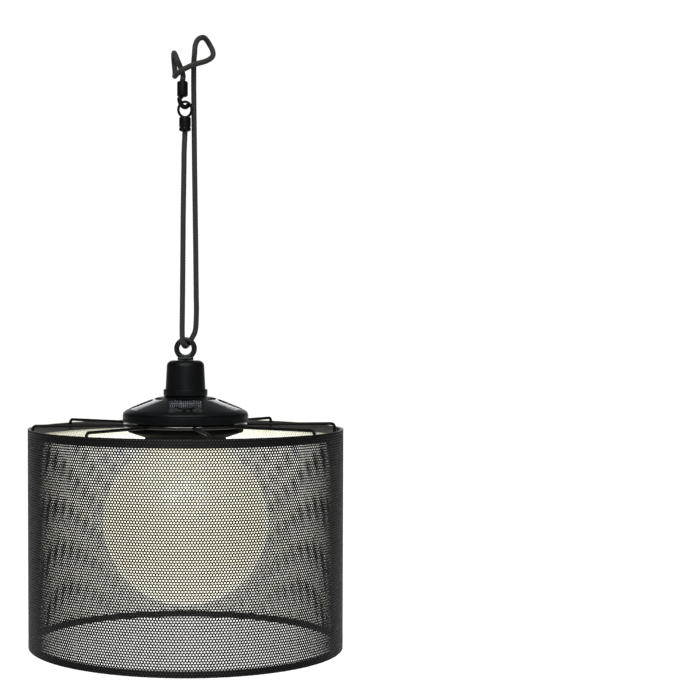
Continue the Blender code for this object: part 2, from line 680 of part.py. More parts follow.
def make_globe(parent):
    mat = material("cream_plastic", (0.86, 0.80, 0.66), 0.35)
    globe = lathe("globe", globe_profile(), mat, 36)
    for k in range(LUGS):
        turn = 360 / LUGS * k
        lug = sector(f"globe_lug_{k + 1}", 34.2 * MM, LUG_R, turn - LUG_HALF_DEG, turn + LUG_HALF_DEG,
                     -13.0 * MM, -10.0 * MM, mat, 2)
        join(globe, lug)
    seat(globe, (0, 0, RIM_Z + GLOBE_CENTRE))
    hang(globe, parent)


# ---------------------------------------------------------------- shade


def hoop(name, bottom, top, mat, parent):
    outer = SHADE_R - SHEET_T - GAP - 0.1 * MM
    inner = outer - HOOP_T
    ring = lathe(name, [(inner, bottom), (outer, bottom), (outer, top), (inner, top)], mat, 72)
    hang(ring, parent)
    return inner


def make_shade(parent):
    mat = painted_steel()
    inner = SHADE_R - SHEET_T
    sheet = lathe("shade_mesh", [(inner, -SHADE_H + GAP), (SHADE_R, -SHADE_H + GAP), (SHADE_R, 0),
                                 (inner, 0)], mat, 72)
    hang(sheet, parent)
    hoop("bottom_hoop", -SHADE_H, -SHADE_H + BOTTOM_HOOP_H, mat, parent)
    hoop_in = hoop("top_hoop", -TOP_HOOP_H - GAP, -GAP, mat, parent)
    hub_low, hub_high = 1.5 * MM, 4.7 * MM
    round_off = 0.9 * MM
    hub = lathe("shade_hub", [(HUB_IN_R, hub_low), (HUB_OUT_R - round_off, hub_low),
                              (HUB_OUT_R, hub_low + round_off), (HUB_OUT_R, hub_high - round_off),
                              (HUB_OUT_R - round_off, hub_high), (HUB_IN_R, hub_high)], mat, 48)
    hang(hub, parent)
    make_spokes(mat, hoop_in - SPOKE_R - 1.3 * GAP, (hub_low + hub_high) / 2, parent)


def make_spokes(mat, reach, height, parent):
    """Wires from the hub ring out to the top hoop, with their ends bent down inside it."""
    bend = 3.5 * MM
    corner = arc((reach - bend, height - bend), bend, 90, 0, 4)
    side = [(HUB_OUT_R + GAP, height), *corner, (reach, -6.5 * MM)]
    for k in range(SPOKES):
        turn = SPOKE_FIRST_DEG + 360 / SPOKES * k
        route = [polar(r, turn, RIM_Z + h) for r, h in side]
        spoke = wire(f"spoke_{k + 1}", route, SPOKE_R, mat)
        hang(spoke, parent)


# ---------------------------------------------------------------- whole object


def build():
    clear_scene()
    hitch = pivot("branch_hitch_pivot", (0, 0, 0))
    swing = pivot("lamp_swing_pivot", (0, 0, SWING_Z), hitch)
    globe_turn = pivot("globe_twist_pivot", (0, 0, RIM_Z + GLOBE_CENTRE), swing)
    shade_turn = pivot("shade_turn_pivot", (0, 0, RIM_Z), swing)
    make_cord(hitch)
    make_hook(hitch)
    make_eye_fitting(hitch)
    for make in (make_hanger_eye, make_eye_fixings, make_neck, make_dome, make_solar_windows, make_base,
                 make_seal, make_screws, make_tray, make_battery_door, make_holder, make_battery,
                 make_board, make_knob, make_collar):
        make(swing)
    make_globe(globe_turn)
    make_shade(shade_turn)


build()
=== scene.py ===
"""Studio scene of the hanging solar lantern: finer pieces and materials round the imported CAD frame.

Metres, +Z up, in the CAD frame. The lantern's axis is Z and its front is -Y. Profiles are in millimetres,
as (radius, height above the shade's top rim).
"""

import math

import bmesh
import bpy
import numpy as np
from mathutils import Matrix, Vector


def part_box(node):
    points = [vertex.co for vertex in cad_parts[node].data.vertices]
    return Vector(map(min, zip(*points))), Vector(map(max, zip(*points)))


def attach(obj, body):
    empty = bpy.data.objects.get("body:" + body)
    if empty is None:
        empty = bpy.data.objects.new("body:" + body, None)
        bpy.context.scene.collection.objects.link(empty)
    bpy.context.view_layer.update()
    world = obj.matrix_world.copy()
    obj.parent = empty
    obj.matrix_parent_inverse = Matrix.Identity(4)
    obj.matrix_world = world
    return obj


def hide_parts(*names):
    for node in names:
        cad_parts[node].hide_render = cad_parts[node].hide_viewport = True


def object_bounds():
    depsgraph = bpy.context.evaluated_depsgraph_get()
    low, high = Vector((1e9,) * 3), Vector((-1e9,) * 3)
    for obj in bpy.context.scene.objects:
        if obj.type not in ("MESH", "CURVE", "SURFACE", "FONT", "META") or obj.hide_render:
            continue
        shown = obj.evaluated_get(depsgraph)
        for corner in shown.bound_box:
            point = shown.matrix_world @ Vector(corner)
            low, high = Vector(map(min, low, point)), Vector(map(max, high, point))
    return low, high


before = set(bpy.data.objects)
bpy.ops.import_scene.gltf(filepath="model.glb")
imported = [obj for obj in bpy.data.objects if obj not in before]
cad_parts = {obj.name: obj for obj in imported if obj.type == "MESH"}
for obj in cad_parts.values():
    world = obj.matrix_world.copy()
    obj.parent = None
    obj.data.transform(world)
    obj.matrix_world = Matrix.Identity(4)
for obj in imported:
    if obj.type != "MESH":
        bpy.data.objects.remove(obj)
CAD_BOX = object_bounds()

MM = 0.001
ON_AXIS = 1e-4  # radii below this are a point on the axis
LEAST_BEND_DEG = 12.0  # flatter corners are not rounded
RIM_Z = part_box("shade_mesh")[1].z
SHADE_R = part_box("shade_mesh")[1].x
SHADE_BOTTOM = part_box("shade_mesh")[0].z


# ---------------------------------------------------------------- meshes


def add_object(name, data, mat, body):
    data.materials.append(mat)
    ob = bpy.data.objects.new(name, data)
    bpy.context.scene.collection.objects.link(ob)
    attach(ob, body)
    return ob


def plain_mesh(name, bm, sharp_deg=40.0):
    """The finished mesh, smooth but for the edges sharper than the angle."""
    bmesh.ops.recalc_face_normals(bm, faces=bm.faces)
    mesh = bpy.data.meshes.new(name)
    bm.to_mesh(mesh)
    bm.free()
    mesh.shade_smooth()
    mesh.set_sharp_from_angle(angle=math.radians(sharp_deg))
    return mesh


def finish_mesh(name, bm, mat, body, sharp_deg=40.0):
    return add_object(name, plain_mesh(name, bm, sharp_deg), mat, body)


def arc(centre, radius, start_deg, end_deg, steps):
    turn = [math.radians(start_deg + (end_deg - start_deg) * i / steps) for i in range(steps + 1)]
    return [(centre[0] + radius * math.cos(t), centre[1] + radius * math.sin(t)) for t in turn]


def rounded(profile, radius, steps=4, closed=True):
    """The profile with its corners turned into arcs of about that radius, less where sides are short."""
    out = []
    count = len(profile)
    for i, here in enumerate(profile):
        if not closed and i in (0, count - 1):
            out.append(tuple(here))
            continue
        p = Vector(here)
        a, b = Vector(profile[i - 1]) - p, Vector(profile[(i + 1) % count]) - p
        bend = math.pi - a.angle(b)
        if bend < math.radians(LEAST_BEND_DEG) or here[0] < ON_AXIS:
            out.append(tuple(here))
            continue
        reach = min(radius * math.tan(bend / 2), 0.45 * a.length, 0.45 * b.length)
        start, end = p + a.normalized() * reach, p + b.normalized() * reach
        for k in range(steps + 1):
            t = k / steps
            out.append(tuple(start * (1 - t) ** 2 + p * 2 * t * (1 - t) + end * t**2))
    return out


def lathe_into(bm, profile, segments, at=(0.0, 0.0), base=RIM_Z, place=None):
    """Adds a ring or solid turned about Z from a closed profile in millimetres."""
    rings = []
    for r, h in profile:
        z = base + h * MM
        if r < ON_AXIS:
            rings.append([bm.verts.new((at[0], at[1], z))])
            continue
        turn = [math.tau * i / segments for i in range(segments)]
        rings.append([bm.verts.new((at[0] + r * MM * math.cos(t), at[1] + r * MM * math.sin(t), z))
                      for t in turn])
    if place is not None:
        bmesh.ops.transform(bm, matrix=place, verts=[v for ring in rings for v in ring])
    for a, b in zip(rings, rings[1:] + rings[:1]):
        for i in range(segments):
            j = (i + 1) % segments
            corners = [a[i % len(a)], a[j % len(a)], b[j % len(b)], b[i % len(b)]]
            corners = list(dict.fromkeys(corners))
            if len(corners) > 2:
                bm.faces.new(corners)


def lathe(name, profile, mat, body, segments=128, fillet=0.35, steps=3, **where):
    bm = bmesh.new()
    lathe_into(bm, rounded(profile, fillet, steps) if fillet else profile, segments, **where)
    return finish_mesh(name, bm, mat, body)


def frames_along(points, cyclic=False):
    """A direction and two cross directions at each point, turned as little as possible along the way."""
    points = [Vector(p) for p in points]
    count = len(points)
    heading = []
    for i in range(count):
        before = points[i - 1] if i or cyclic else points[i]
        after = points[(i + 1) % count] if i < count - 1 or cyclic else points[i]
        heading.append((after - before).normalized())
    side = heading[0].orthogonal().normalized()
    out = []
    for h in heading:
        side = (side - h * side.dot(h)).normalized()
        out.append((h, side, h.cross(side)))
    return points, out


def tube_into(bm, route, radii, sides=20, cyclic=False):
    """Adds a round bar along a route. radii is one radius, or one for each point, in metres."""
    points, axes = frames_along(route, cyclic)
    radii = radii if isinstance(radii, (list, tuple)) else [radii] * len(points)
    rings = []
    for p, (_, u, v), r in zip(points, axes, radii):
        turn = [math.tau * k / sides for k in range(sides)]
        rings.append([bm.verts.new(p + (u * math.cos(t) + v * math.sin(t)) * r) for t in turn])
    pairs = list(zip(rings, rings[1:] + (rings[:1] if cyclic else [])))
    for a, b in pairs:
        for k in range(sides):
            n = (k + 1) % sides
            bm.faces.new((a[k], a[n], b[n], b[k]))
    if not cyclic:
        bm.faces.new(rings[0][::-1])
        bm.faces.new(rings[-1])


def slab_into(bm, low, high, bevel=0.0, segments=2, place=None):
    """Adds a box between two corners in millimetres, with rounded edges."""
    low, high = Vector(low) * MM, Vector(high) * MM
    made = bmesh.ops.create_cube(bm, size=1.0)["verts"]
    bmesh.ops.scale(bm, verts=made, vec=high - low)
    bmesh.ops.translate(bm, verts=made, vec=(high + low) / 2)
    if place is not None:
        bmesh.ops.transform(bm, matrix=place, verts=made)
    if bevel:
        edges = list(dict.fromkeys(e for v in made for e in v.link_edges))  # a set's order would vary
        bmesh.ops.bevel(bm, geom=edges, offset=bevel * MM, segments=segments, affect="EDGES", profile=0.5)


def smooth_route(stops, spacing):
    """Points about spacing apart on a Catmull-Rom curve through stops."""
    places = [Vector(s) for s in stops]
    ends = [2 * places[0] - places[1], *places, 2 * places[-1] - places[-2]]
    out = []
    for i in range(len(places) - 1):
        a, b, c, d = ends[i : i + 4]
        steps = max(2, round((c - b).length / spacing))
        for k in range(steps):
            t = k / steps
            out.append(0.5 * (2 * b + (c - a) * t + (2 * a - 5 * b + 4 * c - d) * t**2
                              + (3 * b - a - 3 * c + d) * t**3))
    return out + [places[-1]]


def polar(radius, degrees, z):
    """A point at that distance from the axis and angle round it."""
    t = math.radians(degrees)
    return Vector((radius * math.cos(t), radius * math.sin(t), z))


def carve(ob, bm_tools):
    """Cuts closed shapes out of a piece, and leaves plain mesh behind."""
    mesh = bpy.data.meshes.new("cutter")
    bmesh.ops.recalc_face_normals(bm_tools, faces=bm_tools.faces)
    bm_tools.to_mesh(mesh)
    bm_tools.free()
    tool = bpy.data.objects.new("cutter", mesh)
    bpy.context.scene.collection.objects.link(tool)
    step = ob.modifiers.new("cut", "BOOLEAN")
    step.operation = "DIFFERENCE"
    step.solver = "EXACT"
    step.object = tool
    bpy.context.view_layer.update()
    done = bpy.data.meshes.new_from_object(ob.evaluated_get(bpy.context.evaluated_depsgraph_get()))
    ob.modifiers.clear()
    old, ob.data = ob.data, done
    done.name = ob.name
    bpy.data.meshes.remove(old)
    bpy.data.objects.remove(tool)


# ---------------------------------------------------------------- materials


class Graph:
    """A Principled material, with short ways to add its texture nodes."""

    def __init__(self, name, **sockets):
        self.mat = bpy.data.materials.new(name)
        self.mat.use_nodes = True
        self.nodes = self.mat.node_tree.nodes
        self.links = self.mat.node_tree.links
        self.shader = self.nodes["Principled BSDF"]
        for key, value in sockets.items():
            socket = self.shader.inputs[key.replace("_", " ")]
            socket.default_value = (*value, 1.0) if isinstance(value, tuple) else value
        self.place = self.nodes.new("ShaderNodeTexCoord").outputs["Object"]

    def scaled(self, vector):
        """Object coordinates stretched by a factor on each axis."""
        node = self.nodes.new("ShaderNodeVectorMath")
        node.operation = "MULTIPLY"
        self.links.new(self.place, node.inputs[0])
        node.inputs[1].default_value = vector
        return node.outputs[0]

    def noise(self, scale, detail=3.0, roughness=0.5, source=None):
        node = self.nodes.new("ShaderNodeTexNoise")
        node.inputs["Scale"].default_value = scale
        node.inputs["Detail"].default_value = detail
        node.inputs["Roughness"].default_value = roughness
        self.links.new(source or self.place, node.inputs["Vector"])
        return node.outputs["Fac"]

    def spread(self, factor, low, high, from_low=0.3, from_high=0.7):
        node = self.nodes.new("ShaderNodeMapRange")
        node.inputs["From Min"].default_value = from_low
        node.inputs["From Max"].default_value = from_high
        node.inputs["To Min"].default_value = low
        node.inputs["To Max"].default_value = high
        self.links.new(factor, node.inputs["Value"])
        return node.outputs["Result"]

    def ramp(self, factor, *stops):
        node = self.nodes.new("ShaderNodeValToRGB")
        while len(node.color_ramp.elements) < len(stops):
            node.color_ramp.elements.new(0.5)
        for element, (at, colour) in zip(node.color_ramp.elements, stops):
            element.position = at
            element.color = (*colour, 1.0)
        self.links.new(factor, node.inputs["Fac"])
        return node.outputs["Color"]

    def bump(self, *layers):
        """Stacks bumps, each (height, distance in millimetres, strength)."""
        normal = None
        for height, distance, strength in layers:
            node = self.nodes.new("ShaderNodeBump")
            node.inputs["Distance"].default_value = distance * MM
            node.inputs["Strength"].default_value = strength
            self.links.new(height, node.inputs["Height"])
            if normal is not None:
                self.links.new(normal, node.inputs["Normal"])
            normal = node.outputs["Normal"]
        self.set("Normal", normal)

    def set(self, socket, output):
        self.links.new(output, self.shader.inputs[socket])


def moulded(name, dark, light, rough, grain=2200.0, grain_mm=0.02, **sockets):
    """Moulded or coated surface: cloudy colour, uneven gloss and a fine grain."""
    g = Graph(name, **sockets)
    cloud = g.noise(55.0, 4.0, 0.6)
    g.set("Base Color", g.ramp(cloud, (0.30, dark), (0.70, light)))
    g.set("Roughness", g.spread(g.noise(160.0, 5.0, 0.65), rough[0], rough[1]))
    g.bump((g.noise(420.0, 2.0), 0.03, 0.35), (g.noise(grain, 2.0), grain_mm, 0.8))
    return g.mat


def make_materials():
    m = {}
    m["plastic"] = moulded("black_moulded_plastic", (0.0009, 0.0012, 0.0015), (0.0019, 0.0024, 0.0028),
                           (0.30, 0.40), Specular_IOR_Level=0.06)
    m["matt"] = moulded("black_matt_plastic", (0.0007, 0.0009, 0.0011), (0.0014, 0.0018, 0.0021),
                        (0.70, 0.80), grain_mm=0.02, Specular_IOR_Level=0.03)
    m["gloss"] = moulded("black_gloss_plastic", (0.0018, 0.0021, 0.0025), (0.0032, 0.0037, 0.0042),
                         (0.18, 0.28), grain_mm=0.01, Specular_IOR_Level=0.15)
    m["steel"] = moulded("black_powder_coat", (0.0007, 0.0007, 0.0008), (0.0014, 0.0014, 0.0015),
                         (0.38, 0.50), grain=1500.0, grain_mm=0.03, Specular_IOR_Level=0.06)
    # The hoops are black like the sheet; their lighter grey base colour is a painted sheen for the shine on
    # them.
    m["hoop"] = moulded("black_hoop_coat_painted_sheen", (0.008, 0.008, 0.0085), (0.014, 0.014, 0.015),
                        (0.35, 0.45), grain=1500.0, grain_mm=0.03, Specular_IOR_Level=0.25)
    m["hub"] = moulded("black_gloss_enamel", (0.0016, 0.0016, 0.0017), (0.0032, 0.0032, 0.0033),
                       (0.08, 0.14), grain_mm=0.01, Specular_IOR_Level=0.6)
    m["inside"] = make_coat()
    m["seal"] = moulded("black_rubber", (0.008, 0.008, 0.008), (0.014, 0.014, 0.014), (0.75, 0.9))
    m["white"] = moulded("white_moulded_plastic", (0.70, 0.70, 0.67), (0.78, 0.78, 0.75), (0.38, 0.50))
    m["inner"] = moulded("grey_black_inner_plastic", (0.03, 0.03, 0.03), (0.05, 0.05, 0.05), (0.45, 0.6))
    m["board"] = moulded("green_circuit_board", (0.012, 0.075, 0.03), (0.03, 0.14, 0.06), (0.3, 0.45),
                         Coat_Weight=0.4)
    m["lens"] = moulded("milky_led_lens", (0.80, 0.79, 0.66), (0.90, 0.89, 0.78), (0.08, 0.16))
    m["zinc"] = make_zinc()
    m["wrap"] = make_battery_wrap()
    m["cord"] = make_sheath()
    m["globe"] = make_globe_material()
    m["cover"] = make_cover_material()
    m["cell"] = make_cell_material()
    m["finger"] = moulded("printed_silver_line", (0.42, 0.43, 0.44), (0.60, 0.61, 0.62), (0.3, 0.4),
                          Metallic=0.8)
    return m


def make_zinc():
    """Bright plating with fine lines round the part."""
    g = Graph("zinc_plated_steel", Metallic=1.0)
    brushed = g.noise(90.0, 4.0, 0.6, g.scaled((1.0, 1.0, 30.0)))
    g.set("Base Color", g.ramp(brushed, (0.3, (0.50, 0.50, 0.47)), (0.7, (0.70, 0.70, 0.66))))
    g.set("Roughness", g.spread(g.noise(700.0, 3.0), 0.25, 0.45))
    g.bump((brushed, 0.02, 0.5))
    return g.mat


def make_battery_wrap():
    """Plain green shrink wrap."""
    g = Graph("green_battery_wrap")
    smooth = g.noise(300.0, 3.0)
    g.set("Base Color", g.ramp(smooth, (0.35, (0.03, 0.17, 0.06)), (0.65, (0.05, 0.24, 0.09))))
    g.set("Roughness", g.spread(smooth, 0.25, 0.4))
    g.bump((g.noise(900.0, 2.0), 0.02, 0.4))
    return g.mat


def make_coat():
    """Pale paint on the sheet's inside, with a painted warm light that turns it creamier in the last 25 mm
    below the rim.
    """
    g = Graph("pale_inner_coat_painted_warm_light")
    split = g.nodes.new("ShaderNodeSeparateXYZ")
    g.links.new(g.place, split.inputs[0])
    # This rises towards the rim and shifts the colour to the cream stops: a painted warm light near the rim,
    # not a change in the paint.
    height = g.spread(split.outputs["Z"], 0.0, 0.6, RIM_Z - 25.0 * MM, RIM_Z - 12.0 * MM)
    shade = g.nodes.new("ShaderNodeMath")
    shade.operation = "MULTIPLY_ADD"
    g.links.new(g.noise(55.0, 4.0, 0.6), shade.inputs[0])
    shade.inputs[1].default_value = 0.4
    g.links.new(height, shade.inputs[2])
    # The two pale grey stops are the coat's own colour; the two cream stops are the painted warm light near
    # the rim.
    g.set("Base Color", g.ramp(shade.outputs[0], (0.12, (0.79, 0.80, 0.765)), (0.28, (0.84, 0.85, 0.82)),
                               (0.72, (0.60, 0.61, 0.46)), (0.88, (0.68, 0.69, 0.55))))
    g.set("Roughness", g.spread(g.noise(160.0, 5.0, 0.65), 0.45, 0.6))
    g.bump((g.noise(420.0, 2.0), 0.03, 0.35), (g.noise(1500.0, 2.0), 0.03, 0.8))
    return g.mat


def make_sheath():
    """Braided textile: painted shade from the mesh darkens the furrows and lightens the strands on top, and
    the fuzz comes from fine noise.
    """
    g = Graph("braided_sheath_painted_shade", Specular_IOR_Level=0.25, Sheen_Weight=0.03, Sheen_Roughness=0.5)
    node = g.nodes.new("ShaderNodeAttribute")
    node.attribute_name = "braid_painted_shade"
    mix = g.nodes.new("ShaderNodeMath")
    mix.operation = "MULTIPLY_ADD"
    g.links.new(g.noise(2600.0, 3.0), mix.inputs[0])
    mix.inputs[1].default_value = 0.35
    g.links.new(node.outputs["Fac"], mix.inputs[2])
    # The ramp turns the painted shade into colour: near black in the furrows, lighter on the strands on top.
    g.set("Base Color", g.ramp(mix.outputs[0], (0.15, (0.0015, 0.0015, 0.0012)),
                               (0.55, (0.0035, 0.0038, 0.0031)), (1.0, (0.010, 0.011, 0.009))))
    g.set("Roughness", g.spread(g.noise(1200.0, 2.0), 0.7, 0.92))
    g.bump((g.noise(5200.0, 2.0), 0.05, 0.6))
    return g.mat


def make_globe_material():
    """Cream, slightly milky blow-moulded plastic with faint flow clouds, and a painted glow: an even warm
    emission that brightens the globe and evens out its shading.
    """
    # The emission is a painted glow: the globe shines evenly by itself, with no lamp inside lighting it.
    g = Graph("cream_milky_plastic_painted_glow", Specular_IOR_Level=0.5, Subsurface_Weight=0.25, Subsurface_Scale=0.006,
              Emission_Color=(1.0, 0.96, 0.76), Emission_Strength=1.26)
    g.shader.inputs["Subsurface Radius"].default_value = (1.0, 0.75, 0.45)
    cloud = g.noise(14.0, 4.0, 0.55, g.scaled((1.0, 1.0, 0.6)))
    g.set("Base Color", g.ramp(cloud, (0.30, (0.26, 0.25, 0.19)), (0.70, (0.30, 0.29, 0.235))))
    g.set("Roughness", g.spread(g.noise(60.0, 4.0, 0.6), 0.16, 0.26))
    g.bump((g.noise(24.0, 2.0), 0.25, 0.25), (g.noise(900.0, 2.0), 0.01, 0.5))
    return g.mat


def make_cover_material():
    """Clear plastic with faint ripples and smudges."""
    g = Graph("clear_window_plastic", Transmission_Weight=1.0, IOR=1.49)
    g.set("Base Color", g.ramp(g.noise(40.0, 2.0), (0.3, (0.93, 0.95, 0.96)), (0.7, (0.97, 0.98, 0.99))))
    g.set("Roughness", g.spread(g.noise(130.0, 4.0, 0.6), 0.015, 0.06))
    g.bump((g.noise(110.0, 2.0), 0.02, 0.25))
    return g.mat


def make_cell_material():
    """Dark silicon with the faint mottle of its grains."""
    g = Graph("dark_silicon", Specular_IOR_Level=0.6)
    grains = g.nodes.new("ShaderNodeTexVoronoi")
    grains.inputs["Scale"].default_value = 260.0
    g.links.new(g.place, grains.inputs["Vector"])
    g.set("Base Color", g.ramp(grains.outputs["Color"], (0.0, (0.004, 0.006, 0.012)),
                               (1.0, (0.012, 0.018, 0.034))))
    g.set("Roughness", g.spread(g.noise(300.0, 2.0), 0.18, 0.3))
    return g.mat


# ---------------------------------------------------------------- camera, floor and light


IMAGE_PX = 696
LENS_PX = 1620.0
CENTRE_X_PX, CENTRE_Y_PX = 185.5, 382.8
CAMERA_DISTANCE = 1.5690
CAMERA_ABOVE_RIM = 0.1016
CAMERA_PITCH_DEG = 2.108
FLOOR_SIZE = 12.0
FLOOR_GAP = 0.42
BACKDROP = 1.05
LAMP_DISTANCE = 2.4
KEY_HEADING = Vector((0.04, 0.75, -0.66)).normalized()
GLINT_HEADING = Vector((0.275, 0.713, -0.64)).normalized()


def make_camera():
    """A long lens a little above the rim, looking slightly down, with the lantern left of centre."""
    data = bpy.data.cameras.new("camera")
    data.sensor_fit = "HORIZONTAL"
    data.sensor_width = 36.0
    data.lens = LENS_PX / IMAGE_PX * data.sensor_width
    data.shift_x = (IMAGE_PX / 2 - CENTRE_X_PX) / IMAGE_PX
    data.shift_y = (CENTRE_Y_PX - IMAGE_PX / 2) / IMAGE_PX
    data.clip_start, data.clip_end = 0.05, 60.0
    cam = bpy.data.objects.new("camera", data)
    bpy.context.scene.collection.objects.link(cam)
    cam.location = (0.0, -CAMERA_DISTANCE, RIM_Z + CAMERA_ABOVE_RIM)
    cam.rotation_euler = (math.radians(90.0 - CAMERA_PITCH_DEG), 0.0, 0.0)
    bpy.context.scene.camera = cam


def make_floor():
    """A wide pale floor, well below the hanging lantern."""
    bm = bmesh.new()
    bmesh.ops.create_grid(bm, x_segments=8, y_segments=8, size=FLOOR_SIZE)
    mesh = bpy.data.meshes.new("floor")
    bm.to_mesh(mesh)
    bm.free()
    g = Graph("pale_floor", Specular_IOR_Level=0.1)
    g.set("Base Color", g.ramp(g.noise(3.0), (0.3, (0.64, 0.64, 0.64)), (0.7, (0.66, 0.66, 0.66))))
    g.set("Roughness", g.spread(g.noise(9.0), 0.8, 0.95))
    mesh.materials.append(g.mat)
    floor = bpy.data.objects.new("floor", mesh)
    bpy.context.scene.collection.objects.link(floor)
    floor.location = (0.0, 0.0, CAD_BOX[0].z - FLOOR_GAP)


def make_world():
    """Plain white to the camera. Reflections see a soft room: bright behind, dimmer above and in front."""
    world = bpy.data.worlds.new("studio")
    bpy.context.scene.world = world
    world.use_nodes = True
    nodes, links = world.node_tree.nodes, world.node_tree.links
    nodes.clear()
    split = nodes.new("ShaderNodeSeparateXYZ")
    links.new(nodes.new("ShaderNodeTexCoord").outputs["Generated"], split.inputs[0])

    def ramped(value, low, high, dark, bright):
        """Goes smoothly from dark to bright as the value goes from low to high."""
        node = nodes.new("ShaderNodeMapRange")
        node.interpolation_type = "SMOOTHSTEP"
        node.inputs["From Min"].default_value = low
        node.inputs["From Max"].default_value = high
        node.inputs["To Min"].default_value = dark
        node.inputs["To Max"].default_value = bright
        links.new(value, node.inputs["Value"])
        return node.outputs["Result"]

    def added(one, other):
        node = nodes.new("ShaderNodeMath")
        links.new(one, node.inputs[0])
        links.new(other, node.inputs[1])
        return node.outputs[0]

    behind = ramped(split.outputs["Y"], 0.75, 0.98, 0.08, 1.2)
    before = ramped(split.outputs["Y"], 0.30, -0.40, 0.0, 0.15)
    above = ramped(split.outputs["Z"], 0.60, 0.98, 0.0, 0.30)
    total = added(added(behind, before), above)
    room = nodes.new("ShaderNodeBackground")
    room.inputs["Color"].default_value = (0.97, 0.985, 1.0, 1.0)
    links.new(total, room.inputs["Strength"])
    seen = nodes.new("ShaderNodeBackground")
    seen.inputs["Strength"].default_value = BACKDROP
    seen.inputs["Color"].default_value = (1.0, 1.0, 1.0, 1.0)
    pick = nodes.new("ShaderNodeMixShader")
    links.new(nodes.new("ShaderNodeLightPath").outputs["Is Camera Ray"], pick.inputs["Fac"])
    links.new(room.outputs[0], pick.inputs[1])
    links.new(seen.outputs[0], pick.inputs[2])
    links.new(pick.outputs[0], nodes.new("ShaderNodeOutputWorld").inputs["Surface"])


def make_lights():
    """A wide soft key from above in front, a small lamp at its left for a glint, and a panel behind above."""
    sun = bpy.data.lights.new("key", "SUN")
    sun.energy = 7.0
    sun.angle = math.radians(60.0)
    sun.color = (1.0, 0.99, 0.97)
    place_light("key", sun, -KEY_HEADING * LAMP_DISTANCE, KEY_HEADING)
    glint = bpy.data.lights.new("glint", "AREA")
    glint.size = 0.22
    glint.energy = 9.0
    rim_centre = Vector((0, 0, RIM_Z))
    place_light("glint", glint, rim_centre - GLINT_HEADING * LAMP_DISTANCE, GLINT_HEADING)
    panel = bpy.data.lights.new("panel", "AREA")
    panel.shape = "RECTANGLE"
    panel.size, panel.size_y = 2.6, 1.6
    panel.energy = 1.2
    spot = Vector((0.0, 1.5, RIM_Z + 1.6))
    place_light("panel", panel, spot, rim_centre - spot)


def place_light(name, data, spot, heading):
    lamp = bpy.data.objects.new(name, data)
    bpy.context.scene.collection.objects.link(lamp)
    lamp.location = spot
    lamp.rotation_euler = heading.to_track_quat("-Z", "Y").to_euler()
    lamp.visible_camera = False


# ---------------------------------------------------------------- cord


BRANCH_TILT_DEG = 27.0
CORD_R = 2.65 * MM
CORD_SIDES = 32
LONGEST_SPAN = 15 * MM
CORD_SPACING = 0.42 * MM
BRAID_STRANDS = 8
BRAID_PITCH = 3.0 * MM
BRAID_DEPTH = 0.24 * MM


def by_branch(along, above, front):
    """A place given along the branch, above its centre line and in front of it, all in millimetres."""
    t = math.radians(BRANCH_TILT_DEG)
    x = along * math.cos(t) - above * math.sin(t)
    z = along * math.sin(t) + above * math.cos(t)
    return Vector((x, -front, z)) * MM


def cord_stops():
    """The route from the hook, round the branch in a cow hitch, down through the eye and up again."""
    hitch = [
        by_branch(-8.6, -6.0, 7.4), by_branch(-8.3, 0.4, 9.6), by_branch(-7.6, 7.0, 6.6),
        by_branch(-7.6, 9.6, 0.0), by_branch(-9.2, 7.0, -6.6), by_branch(-12.0, 0.0, -9.6),
        by_branch(-15.0, -7.4, -6.6), by_branch(-16.8, -10.4, 0.0), by_branch(-14.4, -10.4, 7.8),
        by_branch(-8.4, -10.2, 13.0), by_branch(-1.0, -10.4, 14.6), by_branch(6.4, -11.2, 13.6),
        by_branch(13.8, -12.2, 10.0), by_branch(20.0, -11.8, 5.4), by_branch(24.8, -9.4, -0.6),
        by_branch(27.2, -4.4, -7.0), by_branch(27.6, 1.4, -9.6), by_branch(26.8, 7.2, -7.0),
        by_branch(24.4, 10.6, -2.0), by_branch(18.6, 10.2, 3.0), by_branch(13.4, 5.6, 8.2),
        by_branch(9.2, -1.0, 9.4), by_branch(5.2, -7.4, 7.6),
    ]
    top = [(-2.9, -6.6, -22.4), (-2.4, -7.0, -17.0)]
    rest = [
        (7.9, -5.6, -14.0), (7.9, -2.2, -26.0), (8.1, 0.8, -44.0), (8.7, 1.4, -100.0),
        (9.9, 3.0, -182.0), (10.6, 4.8, -244.0), (9.7, 5.5, -260.5), (6.7, 5.9, -268.2),
        (3.3, 5.2, -273.5), (1.0, 2.6, -276.2), (0.0, 0.0, -276.6), (-1.0, -2.6, -276.2),
        (-2.4, -5.1, -273.5), (-3.1, -5.7, -267.7), (-3.2, -5.7, -258.5), (-2.8, -5.8, -222.0),
        (-2.2, -6.1, -150.0), (-1.3, -6.4, -90.0), (-0.5, -6.5, -70.8),
    ]
    return [Vector(p) * MM for p in top] + hitch + [Vector(p) * MM for p in rest]


def cord_route():
    """The stops joined in short spans, and the long straight runs kept straight."""
    stops = cord_stops()
    dense = [stops[0]]
    for a, b in zip(stops, stops[1:]):
        parts = max(1, round((b - a).length / LONGEST_SPAN))
        dense += [a.lerp(b, k / parts) for k in range(1, parts + 1)]
    return smooth_route(dense, CORD_SPACING)


